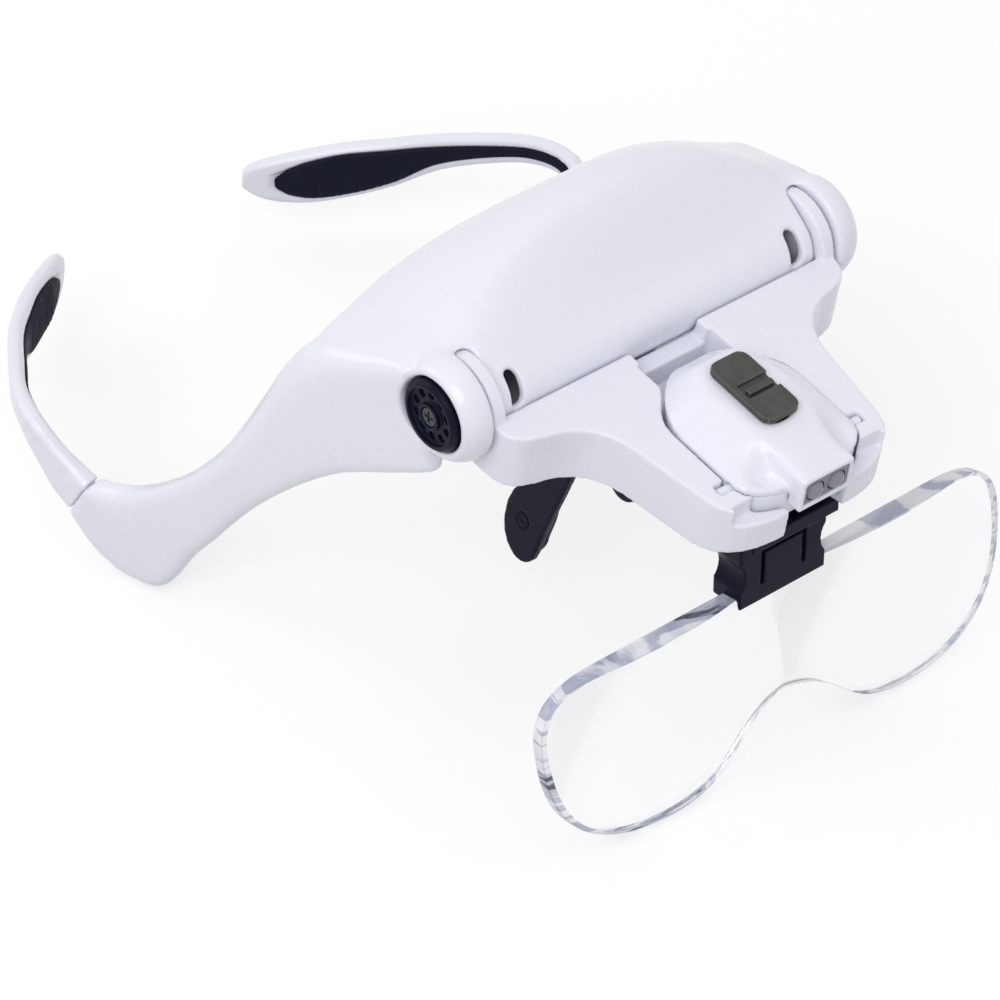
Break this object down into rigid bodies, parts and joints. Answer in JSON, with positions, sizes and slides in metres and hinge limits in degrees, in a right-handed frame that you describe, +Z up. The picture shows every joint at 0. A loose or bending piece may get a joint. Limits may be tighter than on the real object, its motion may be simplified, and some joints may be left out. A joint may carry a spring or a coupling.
{
  "type": "lighted magnifier glasses",
  "caption": "Head-worn magnifier glasses: brow frame with plug-in legs and nose pads, a tilting carrier with a switched lamp pod, and a clip-on lens with two magnifying lobes.",
  "frame": {"origin": "below the middle of the whole object, at the height of the table it stands on", "axes": "+X to the wearer's left, +Y towards the back of the head, +Z up; the wearer looks along -Y"},
  "size_m": [0.1678, 0.2438, 0.1159],
  "materials": {
    "white_plastic": "glossy moulded plastic, faintly lavender white",
    "black_plastic": "satin black moulded plastic",
    "black_rubber": "soft matt black rubber",
    "grey_plastic": "satin grey-olive plastic",
    "clear_plastic": "clear polished acrylic",
    "steel": "plain bright steel",
    "brass": "spring brass",
    "board": "green circuit board"
  },
  "bodies": {
    "frame": {"frame_shell": "white_plastic", "brow_cover": "white_plastic", "cover_screws": "steel", "nose_bracket": "black_plastic", "nose_pad_right": "black_rubber", "nose_pad_left": "black_rubber", "washer_right": "black_rubber", "washer_left": "black_rubber"},
    "carrier": {"lamp_carrier": "white_plastic", "knob_right": "black_plastic", "knob_left": "black_plastic", "knob_screw_right": "steel", "knob_screw_left": "steel"},
    "pod": {"pod_top": "white_plastic", "pod_base": "white_plastic", "battery_door": "white_plastic", "door_screw": "steel", "pod_screws": "steel", "coin_cells": "steel", "cell_contact": "brass", "spring_contact": "brass", "circuit_board": "board", "switch_block": "steel", "led_right": "clear_plastic", "led_left": "clear_plastic", "led_window": "clear_plastic"},
    "switch": {"switch_slider": "grey_plastic"},
    "lens": {"lens": "clear_plastic", "lens_clip": "black_plastic"},
    "leg_right": {"leg_right": "white_plastic", "leg_grip_right": "black_rubber"},
    "leg_left": {"leg_left": "white_plastic", "leg_grip_left": "black_rubber"}
  },
  "joints": [
    {"name": "carrier_tilt", "type": "hinge", "parent": "frame", "child": "carrier", "pos_m": [0, -0.05885, 0.088], "axis": [-1, 0, 0], "range_deg": [-20, 35]},
    {"name": "pod_tilt", "type": "hinge", "parent": "carrier", "child": "pod", "pos_m": [0, -0.10881, 0.07772], "axis": [1, 0, 0], "range_deg": [0, 10]},
    {"name": "switch_slide", "type": "slide", "parent": "pod", "child": "switch", "axis": [0, -0.9833, -0.1822], "range_m": [0, 0.003]},
    {"name": "lens_release", "type": "slide", "parent": "carrier", "child": "lens", "axis": [0, 0, -1], "range_m": [0, 0.012]},
    {"name": "leg_right_release", "type": "slide", "parent": "frame", "child": "leg_right", "axis": [-0.198, 0.8246, 0.5299], "range_m": [0, 0.012]},
    {"name": "leg_left_release", "type": "slide", "parent": "frame", "child": "leg_left", "axis": [0.198, 0.8246, 0.5299], "range_m": [0, 0.012]}
  ]
}
